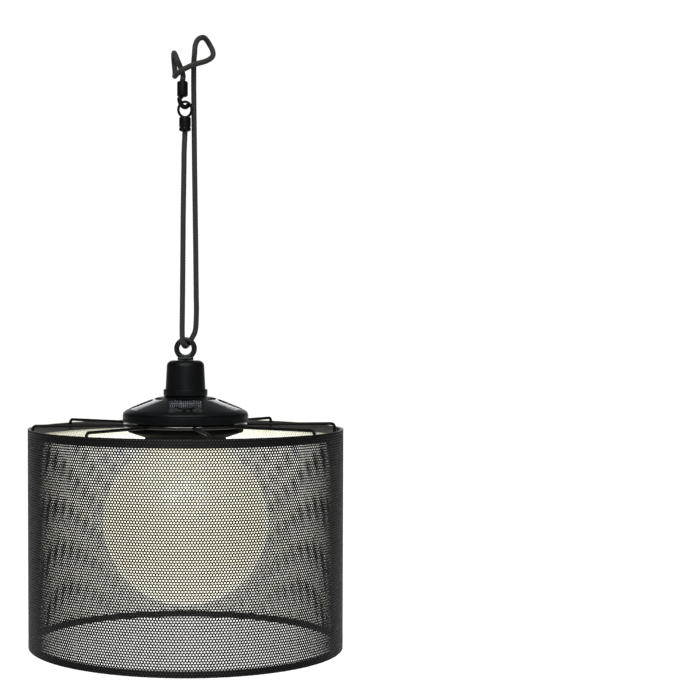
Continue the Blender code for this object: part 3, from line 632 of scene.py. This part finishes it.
def make_cord(mat):
    """A tube whose surface carries the crossing strands of a braid.

    The attribute made below is painted shade: low (dark) in the furrows and highest (light) on the strands
    that lie on top.
    """
    points, axes = frames_along(cord_route())
    along = np.zeros(len(points))
    along[1:] = np.cumsum([(b - a).length for a, b in zip(points, points[1:])])
    middle = np.array(points)
    u, v = np.array([a[1] for a in axes]), np.array([a[2] for a in axes])
    turn = np.arange(CORD_SIDES) * math.tau / CORD_SIDES
    round_part = turn[None, :] / math.tau * BRAID_STRANDS
    long_part = along[:, None] / BRAID_PITCH
    one, other = round_part + long_part, round_part - long_part
    ridge = np.sqrt(np.abs(np.sin(math.pi * one) * np.sin(math.pi * other)))
    over = ((np.floor(one) + np.floor(other)) % 2 == 0).astype(float)
    height = CORD_R - BRAID_DEPTH * (1.0 - ridge)
    places = (middle[:, None, :] + height[:, :, None] * (np.cos(turn)[None, :, None] * u[:, None, :]
              + np.sin(turn)[None, :, None] * v[:, None, :]))
    rows, sides = height.shape
    index = np.arange(rows * sides).reshape(rows, sides)
    ahead = np.roll(index, -1, axis=1)
    quads = np.stack([index[:-1], ahead[:-1], ahead[1:], index[1:]], axis=-1).reshape(-1, 4)
    mesh = bpy.data.meshes.new("cord_braid")
    mesh.from_pydata(places.reshape(-1, 3).tolist(), [],
                     quads.tolist() + [index[0][::-1].tolist(), index[-1].tolist()])
    mesh.shade_smooth()
    # Painted shade: dark in the braid's furrows, lighter on the ridges and lightest on strands that lie on
    # top.
    shade = mesh.attributes.new("braid_painted_shade", "FLOAT", "POINT")
    shade.data.foreach_set("value", (0.15 + 0.45 * ridge + 0.25 * over * ridge).ravel().astype(np.float32))
    cord = add_object("cord_braid", mesh, mat, "hanger")
    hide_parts("bungee_cord")
    return cord, points, float(along[-1])


FITTING_Y = -6.5
HOOK_X = -2.9
HOOK_SECTION_R = 2.25
HOOK_BEND_R = 8.0
EYE_X = -0.5
LOOP_HALF_W, LOOP_HALF_H, LOOP_Z = 6.3, 7.4, -49.6
LOOP_SECTION_R = 1.3
LOOP_STEPS = 64


def make_hook(mat):
    """A barrel on the cord's end, and an open hook whose tip is rounded off."""
    bm = bmesh.new()
    barrel = [(0, -37.7), (3.6, -37.7), (5.2, -36.5), (5.2, -23.9), (4.2, -22.7), (0, -22.7)]
    at = (HOOK_X * MM, FITTING_Y * MM)
    lathe_into(bm, rounded(barrel, 0.8, 4), 48, at=at, base=0.0)
    centre = Vector((-0.9, FITTING_Y, -39.3))
    lean = polar(1.0, 52.0, 0.0)
    stem = [Vector((HOOK_X, FITTING_Y, -33.7)), Vector((HOOK_X - 1.2, FITTING_Y - 2.6, -37.7))]
    bend = [centre + lean * a + Vector((0, 0, b)) for a, b in arc((0, 0), HOOK_BEND_R, 188, 312, 5)]
    route = smooth_route(stem + bend, 0.6)
    heading = (route[-1] - route[-2]).normalized()
    end = route[-1]
    radii = [HOOK_SECTION_R] * len(route)
    for k in range(1, 7):
        t = k / 6
        route.append(end + heading * HOOK_SECTION_R * math.sin(t * math.pi / 2))
        radii.append(HOOK_SECTION_R * max(0.04, math.cos(t * math.pi / 2)))
    tube_into(bm, [p * MM for p in route], [r * MM for r in radii], 24)
    hook = finish_mesh("cord_hook", bm, mat, "hanger")
    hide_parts("hook_fitting")
    return hook


def make_cord_eye(mat):
    """A barrel with two steps and a groove, and an oval ring for the hook."""
    bm = bmesh.new()
    barrel = [(0, -70.5), (4.4, -70.5), (5.65, -69.6), (5.65, -67.1), (5.1, -66.8), (5.1, -66.2),
              (5.65, -65.9), (5.65, -57.7), (4.6, -56.7), (0, -56.7)]
    lathe_into(bm, rounded(barrel, 0.5, 3), 48, at=(EYE_X * MM, FITTING_Y * MM), base=0.0)
    loop = []
    for i in range(LOOP_STEPS):
        t = math.tau * i / LOOP_STEPS
        across, up = LOOP_HALF_W * math.cos(t), LOOP_HALF_H * math.sin(t)
        loop.append(Vector((EYE_X + across, FITTING_Y, LOOP_Z + up)) * MM)
    tube_into(bm, loop, LOOP_SECTION_R * MM, 20, cyclic=True)
    eye = finish_mesh("cord_eye", bm, mat, "hanger")
    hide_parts("eye_fitting")
    return eye


# ---------------------------------------------------------------- neck and hanger eye


EYE_CENTRE = 77.0


def make_hanger_eye(mat):
    """A ring on a rounded foot, with the top of its shank."""
    bm = bmesh.new()
    section = [(5.9, -1.1), (7.0, -2.2), (10.0, -2.2), (11.1, -1.1), (11.1, 1.1), (10.0, 2.2), (7.0, 2.2),
               (5.9, 1.1)]
    upright = Matrix.Translation((0, 0, RIM_Z + EYE_CENTRE * MM)) @ Matrix.Rotation(math.radians(90), 4, "X")
    lathe_into(bm, rounded(section, 1.2, 3), 72, base=0.0, place=upright)
    stand = Matrix.Translation((0, 0, RIM_Z))
    slab_into(bm, (-7.75, -4.6, 65.9), (7.75, 4.6, 68.9), 1.0, 4, stand)
    lathe_into(bm, [(0, 55.0), (3.0, 55.0), (3.0, 67.6), (0, 67.6)], 32)
    eye = finish_mesh("hanger_eye_bolt", bm, mat, "lamp")
    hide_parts("hanger_eye")


def make_neck(mat):
    """A slightly tapered cup with a rounded shoulder, a wider band at its foot and a shank hole."""
    shoulder = arc((12.6, 60.0), 5.6, 90, 0, 14)
    rest = [(19.4, 37.8), (20.9, 37.8), (21.4, 37.3), (21.4, 31.8), (20.9, 31.3), (17.5, 31.3),
            (17.5, 23.6), (15.3, 23.6), (15.3, 35.5), (17.0, 38.5), (16.0, 58.0), (15.2, 60.8),
            (12.8, 63.2), (3.3, 63.2)]
    profile = [(3.3, 65.6)] + shoulder + rounded(rest, 0.4, 3, closed=False)
    neck = lathe("neck_shell", profile, mat, "lamp", 128, 0)
    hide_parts("neck_housing")


# ---------------------------------------------------------------- cap


WINDOW_HALF_W = 15.9
WINDOW_TOP, WINDOW_BOTTOM = Vector((26.4, 0.0, 28.6)), Vector((54.4, 0.0, 18.1))
WINDOWS = ("front", "right", "rear_right", "rear_left", "left")
WINDOW_STEP_DEG = 72.0
WINDOW_GAP = 0.3
COVER_T = 1.2
CELL_INSET = 1.0
CELL_TOP, CELL_BOTTOM = -1.62, -2.4
LINES, LINE_STEP, LINE_HALF_W, BUS_HALF_W = 15, 2.0, 0.09, 0.4
LINE_INSET = 1.8
DOME_SCREWS = [polar(51.0, -54.0 + WINDOW_STEP_DEG * k, 0) for k in range(len(WINDOWS))]


def window_frame(index):
    """Place of one solar window, in millimetre axes: X across, Y down the slope, Z out of the dome."""
    slope = (WINDOW_BOTTOM - WINDOW_TOP).normalized()
    out = Vector((-slope.z, 0, slope.x))
    middle = (WINDOW_TOP + WINDOW_BOTTOM) / 2
    basis = Matrix((out.cross(slope), slope, out)).transposed().to_4x4()
    place = Matrix.Translation(middle * MM + Vector((0, 0, RIM_Z))) @ basis
    return Matrix.Rotation(math.radians(WINDOW_STEP_DEG * index - 90.0), 4, "Z") @ place


def window_half_length():
    return (WINDOW_BOTTOM - WINDOW_TOP).length / 2


def make_dome(mat):
    """The domed top, with a flat pocket cut for each solar window."""
    crown = [Vector((r, h, 0.0)) for r, h in
             ((17.8, 30.9), (24, 30.4), (28.6, 29.2), (35.4, 26.9), (43, 23.9), (51, 20.6), (56.6, 18.0),
              (58.4, 16.9))]
    crown = [(p.x, p.y) for p in smooth_route(crown, 1.2)]
    edge = rounded([crown[-2], (58.4, 16.9), (60.0, 15.6), (60.6, 14.6), (60.6, 14.0), (56.0, 14.0)],
                   0.5, 3, closed=False)[1:]
    inner = [(55.4, 15.9), (49.8, 19.1), (43, 22.1), (34.4, 25.4), (28.0, 27.3), (23.6, 28.4),
             (17.8, 28.5)]
    dome = lathe("cap_shell", crown[:-1] + edge + inner, mat, "lamp", 144, 0)
    tools = bmesh.new()
    for k in range(len(WINDOWS)):
        slab_into(tools, (-WINDOW_HALF_W, -window_half_length(), -4.0),
                  (WINDOW_HALF_W, window_half_length(), 6.0), 0.0, 1, window_frame(k))
    carve(dome, tools)
    soften(dome, 0.22)
    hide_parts("cap_dome")


def soften(ob, width_mm, sharp_deg=30.0):
    """Rounds the edges that a cut leaves, and keeps the faces beside them flat in shading."""
    step = ob.modifiers.new("soften", "BEVEL")
    step.width = width_mm * MM
    step.segments = 2
    step.limit_method = "ANGLE"
    step.angle_limit = math.radians(sharp_deg)
    step.harden_normals = True
    step.use_clamp_overlap = True


def make_windows(cover_mat, cell_mat, finger_mat):
    """Clear covers over dark cells, with the printed lines on each cell."""
    half_w, half_l = WINDOW_HALF_W - WINDOW_GAP, window_half_length() - WINDOW_GAP
    for k, side in enumerate(WINDOWS):
        place = window_frame(k)
        bm = bmesh.new()
        slab_into(bm, (-half_w, -half_l, -COVER_T), (half_w, half_l, 0.0), 0.3, 3)
        cover = put_tile(f"window_cover_{side}", bm, cover_mat, place)
        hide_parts(f"solar_cover_{side}")
        bm = bmesh.new()
        slab_into(bm, (-half_w + CELL_INSET, -half_l + CELL_INSET, CELL_BOTTOM),
                  (half_w - CELL_INSET, half_l - CELL_INSET, CELL_TOP), 0.1, 1)
        cell = put_tile(f"window_cell_{side}", bm, cell_mat, place)
        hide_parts(f"solar_cell_{side}")
        bm = bmesh.new()
        for i in range(LINES):
            x = (i - LINES // 2) * LINE_STEP
            slab_into(bm, (x - LINE_HALF_W, -half_l + LINE_INSET, CELL_TOP),
                      (x + LINE_HALF_W, half_l - LINE_INSET, CELL_TOP + 0.04))
        for y in (-half_l / 2, half_l / 2):
            slab_into(bm, (-half_w + LINE_INSET, y - BUS_HALF_W, CELL_TOP),
                      (half_w - LINE_INSET, y + BUS_HALF_W, CELL_TOP + 0.06))
        lines = put_tile(f"window_lines_{side}", bm, finger_mat, place)


def put_tile(name, bm, mat, place):
    """A piece that keeps its window's axes, so that its pattern runs down the slope."""
    mesh = plain_mesh(name, bm)
    mesh.materials.append(mat)
    ob = bpy.data.objects.new(name, mesh)
    bpy.context.scene.collection.objects.link(ob)
    ob.matrix_world = place
    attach(ob, "lamp")
    return ob


def make_base(mat):
    """The band under the dome, with a spigot for the collar and sunk screw holes."""
    profile = [(58.7, 13.6), (60.6, 13.6), (61.0, 13.2), (61.0, 6.7), (60.4, 6.1), (39.0, 6.1),
               (39.0, -6.2), (36.2, -6.2), (36.2, 8.1), (55.9, 8.1), (55.9, 10.3), (58.7, 10.3)]
    base = lathe("cap_ring", profile, mat, "lamp", 144, 0.45)
    sink = [(0, 5.2), (3.9, 5.2), (1.8, 7.7), (1.8, 9.0), (0, 9.0)]
    tools = bmesh.new()
    for where in DOME_SCREWS:
        lathe_into(tools, sink, 32, at=(where.x * MM, where.y * MM))
    carve(base, tools)
    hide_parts("cap_base")


def make_collar(mat):
    """The flange that carries the shade, and the grooved socket that the globe twists into."""
    profile = [(39.3, 5.8), (39.3, -6.6), (35.3, -6.6), (35.3, -9.7), (37.4, -9.7), (37.4, -13.3),
               (35.3, -13.3), (35.3, -16.7), (38.9, -16.7), (39.3, -16.3), (39.3, -8.6), (41.6, -8.2),
               (55.4, -3.6), (56.2, -2.6), (56.2, 0.8), (55.8, 1.2), (47.5, 1.2), (47.5, 5.8)]
    collar = lathe("collar_shell", profile, mat, "lamp", 144, 0.4)
    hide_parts("globe_collar")


# ---------------------------------------------------------------- globe


GLOBE_CENTRE = -92.0
GLOBE_R, GLOBE_INNER_R = 80.0, 78.0
GLOBE_NECK_R, GLOBE_NECK_INNER_R = 35.0, 33.0
GLOBE_LIP = -7.3
LUGS = 3
LUG_HALF_DEG = 7.0


def make_globe(mat):
    """A hollow ball with a short neck, and bayonet lugs round the neck."""
    outer_end = math.degrees(math.acos(GLOBE_NECK_R / GLOBE_R))
    inner_end = math.degrees(math.acos(GLOBE_NECK_INNER_R / GLOBE_INNER_R))
    outer = arc((0.0, GLOBE_CENTRE), GLOBE_R, -90, outer_end, 60)
    inner = arc((0.0, GLOBE_CENTRE), GLOBE_INNER_R, inner_end, -90, 56)
    outer[0], inner[-1] = (0.0, GLOBE_CENTRE - GLOBE_R), (0.0, GLOBE_CENTRE - GLOBE_INNER_R)
    lip = [outer[-1], (GLOBE_NECK_R, GLOBE_LIP), (GLOBE_NECK_INNER_R, GLOBE_LIP), inner[0]]
    bm = bmesh.new()
    lathe_into(bm, outer + rounded(lip, 0.5, 3, closed=False)[1:-1] + inner, 160)
    for k in range(LUGS):
        middle = 360.0 / LUGS * k
        lug_into(bm, 34.2, 37.1, middle - LUG_HALF_DEG, middle + LUG_HALF_DEG, -13.0, -10.0)
    globe = finish_mesh("globe_shell", bm, mat, "globe", 60)
    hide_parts("globe")


def lug_into(bm, inner, outer, start_deg, end_deg, bottom, top):
    """Adds a block that is part of a ring."""
    rim = arc((0, 0), outer, start_deg, end_deg, 8) + arc((0, 0), inner, end_deg, start_deg, 8)
    low = [bm.verts.new((x * MM, y * MM, RIM_Z + bottom * MM)) for x, y in rim]
    high = [bm.verts.new((x * MM, y * MM, RIM_Z + top * MM)) for x, y in rim]
    bm.faces.new(low[::-1])
    bm.faces.new(high)
    for i in range(len(rim)):
        j = (i + 1) % len(rim)
        bm.faces.new((low[i], low[j], high[j], high[i]))


# ---------------------------------------------------------------- shade


COLUMNS = 342
SECTORS = 9
SHEET_T = 0.65 * MM
SHEET_EDGE = 0.2 * MM
HOLE_R = 0.96 * MM
HOOP_T = 2.0
HUB_R = 60.0
HUB_INNER_R = 48.0
SPOKES = 8
SPOKE_R = 1.5
SPOKE_H = 3.1
SPOKE_FIRST_DEG = 8.0
SPOKE_BEND_R = 3.5
SPOKE_FOOT = -6.3
SPOKE_GAP = 0.39  # between a spoke's end and the top hoop
WELD_GAP = 0.15
WELD_LENGTH = 1.45
WELD_EXTRA_R = 0.5


def sheet_sector(start, count, rows, row_step, first):
    """One sector of the perforated sheet: the vertices and quads of a closed solid.

    Each hole has a six-sided cell. A cell's corners are kept as whole numbers, (half columns, thirds of a
    row), so that neighbours share them. The quads come as outer face, inner face, then walls.
    """
    col, row = np.meshgrid(np.arange(start, start + count), np.arange(rows), indexing="ij")
    col, row = col.ravel(), row.ravel()
    mid_u, mid_w = 2 * col + row % 2, 3 * row
    step_u = np.array([0, -1, -1, 0, 1, 1])
    step_w = np.array([-2, -1, 1, 2, 1, -1])
    keys = np.stack([mid_u[:, None] + step_u, mid_w[:, None] + step_w], axis=-1).reshape(-1, 2)
    corners, which = np.unique(keys, axis=0, return_inverse=True)
    which = which.reshape(-1, 6)
    pitch = math.tau / COLUMNS
    total = RIM_Z - SHADE_BOTTOM
    down = first + corners[:, 1] * row_step / 3
    down = np.where(corners[:, 1] < 0, 0.0, np.where(corners[:, 1] > 3 * (rows - 1), total, down))
    corner_turn = corners[:, 0] * pitch / 2
    spoke = np.radians([90, 150, 210, 270, 330, 30])
    hole_turn = (mid_u * pitch / 2)[:, None] + np.cos(spoke) * HOLE_R / SHADE_R
    hole_down = (first + row * row_step)[:, None] - np.sin(spoke) * HOLE_R
    turn = np.concatenate([corner_turn, hole_turn.ravel()])
    z = RIM_Z - np.concatenate([down, hole_down.ravel()])
    hole = len(corners) + np.arange(len(col) * 6).reshape(-1, 6)
    after = np.roll(np.arange(6), -1)
    ring = np.stack([which, which[:, after], hole[:, after], hole], axis=-1).reshape(-1, 4)
    wall = np.stack([hole, hole[:, after]], axis=-1).reshape(-1, 2)
    sides = np.stack([which, which[:, after]], axis=-1).reshape(-1, 2)
    seen, times = np.unique(np.sort(sides, axis=1), axis=0, return_counts=True)
    single = {tuple(e) for e in seen[times == 1].tolist()}
    rim = np.array([e for e in sides.tolist() if tuple(sorted(e)) in single])
    verts = [np.stack([radius * np.cos(turn), radius * np.sin(turn), z], axis=-1)
             for radius in (SHADE_R, SHADE_R - SHEET_T)]
    far = len(turn)
    walls = np.concatenate([wall, rim[:, ::-1]])
    faces = np.concatenate([
        ring, ring[:, ::-1] + far,
        np.stack([walls[:, 0], walls[:, 1], walls[:, 1] + far, walls[:, 0] + far], axis=-1),
    ])
    return np.concatenate(verts), faces


def quad_mesh(name, verts, faces):
    """A mesh from arrays, many times quicker than face by face."""
    mesh = bpy.data.meshes.new(name)
    mesh.vertices.add(len(verts))
    mesh.vertices.foreach_set("co", verts.astype(np.float32).ravel())
    mesh.loops.add(faces.size)
    mesh.loops.foreach_set("vertex_index", faces.astype(np.int32).ravel())
    mesh.polygons.add(len(faces))
    mesh.polygons.foreach_set("loop_start", np.arange(0, faces.size, 4, dtype=np.int32))
    mesh.update(calc_edges=True)
    mesh.validate()
    return mesh


def make_sheet(mat, inner_mat):
    """The drum's sheet in sectors, black outside and pale on its inner face."""
    row_step = math.tau * SHADE_R / COLUMNS * math.sqrt(3) / 2
    total = RIM_Z - SHADE_BOTTOM
    rows = int((total - 2 * (HOLE_R + SHEET_EDGE)) // row_step) + 1
    first = (total - (rows - 1) * row_step) / 2
    per = COLUMNS // SECTORS
    for s in range(SECTORS):
        verts, faces = sheet_sector(s * per, per, rows, row_step, first)
        mesh = quad_mesh(f"shade_sheet_{s + 1}", verts, faces)
        sheet = add_object(f"shade_sheet_{s + 1}", mesh, mat, "shade")
        mesh.materials.append(inner_mat)
        inside = np.zeros(len(faces), np.int32)
        cells = per * rows * 6
        inside[cells : 2 * cells] = 1
        mesh.polygons.foreach_set("material_index", inside)
        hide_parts("shade_mesh")


def make_hoops(mat):
    """Flat hoops against the sheet's inner face, as high as the CAD's."""
    for name, node in (("rim_band_top", "top_hoop"), ("rim_band_bottom", "bottom_hoop")):
        low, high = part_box(node)
        outer, bottom, top = high.x / MM, (low.z - RIM_Z) / MM, (high.z - RIM_Z) / MM
        inner = outer - HOOP_T
        ring = lathe(name, [(inner, bottom), (outer, bottom), (outer, top), (inner, top)], mat, "shade",
                     240, 0.4)
        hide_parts(node)


def make_hub(mat):
    """The flat glossy ring that the spokes are welded to."""
    profile = [(HUB_INNER_R, 1.5), (HUB_R, 1.5), (HUB_R, 4.7), (HUB_INNER_R, 4.7)]
    hub = lathe("hub_ring", profile, mat, "shade", 144, 0.9, 5)
    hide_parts("shade_hub")


def make_spokes(mat):
    """Wires with a small weld bead at the hub, and a bend down inside the top hoop."""
    start = HUB_R + WELD_GAP
    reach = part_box("top_hoop")[1].x / MM - HOOP_T - SPOKE_R - SPOKE_GAP
    straight = reach - SPOKE_BEND_R
    run = [start, start + WELD_LENGTH] + [start + i * (straight - start) / 12 for i in range(1, 12)]
    side = [(r, SPOKE_H) for r in run] + arc((straight, SPOKE_H - SPOKE_BEND_R), SPOKE_BEND_R, 90, 0, 8)
    side.append((reach, SPOKE_FOOT))
    radii = [(SPOKE_R + (WELD_EXTRA_R if i == 0 else 0.0)) * MM for i in range(len(side))]
    for k in range(SPOKES):
        turn = SPOKE_FIRST_DEG + 360.0 / SPOKES * k
        bm = bmesh.new()
        tube_into(bm, [polar(r * MM, turn, RIM_Z + h * MM) for r, h in side], radii, 20)
        spoke = finish_mesh(f"spoke_wire_{k + 1}", bm, mat, "shade")
        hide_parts(f"spoke_{k + 1}")


# ---------------------------------------------------------------- CAD pieces that stay


def dress_cad(m):
    """Gives each carried-over CAD node its finished material."""
    looks = {
        "zinc": ["eye_washer", "eye_nut", "contact_plus", "contact_spring", "switch_body"],
        "plastic": ["neck_nut"],
        "seal": ["cap_seal"],
        "white": ["light_tray", "battery_door"],
        "inner": ["battery_holder", "switch_knob"],
        "board": ["circuit_board"],
        "lens": ["led_lamp"],
        "wrap": ["battery"],
    }
    looks["zinc"] += [f"dome_screw_{k + 1}" for k in range(len(DOME_SCREWS))]
    looks["zinc"] += [f"tray_screw_{k + 1}" for k in range(3)]
    for look, names in looks.items():
        for name in names:
            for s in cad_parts[name].material_slots:
                s.material = m[look]


# ---------------------------------------------------------------- whole scene


def build():
    bpy.context.scene.view_settings.view_transform = "Standard"
    m = make_materials()
    make_camera()
    cord, path, length = make_cord(m["cord"])
    hook, eye = make_hook(m["plastic"]), make_cord_eye(m["plastic"])
    make_floor()
    make_world()
    make_lights()
    make_hanger_eye(m["gloss"])
    make_neck(m["plastic"])
    make_dome(m["plastic"])
    make_windows(m["cover"], m["cell"], m["finger"])
    make_base(m["plastic"])
    make_collar(m["matt"])
    make_globe(m["globe"])
    make_sheet(m["steel"], m["inside"])
    make_hoops(m["hoop"])
    make_hub(m["hub"])
    make_spokes(m["steel"])
    dress_cad(m)


build()
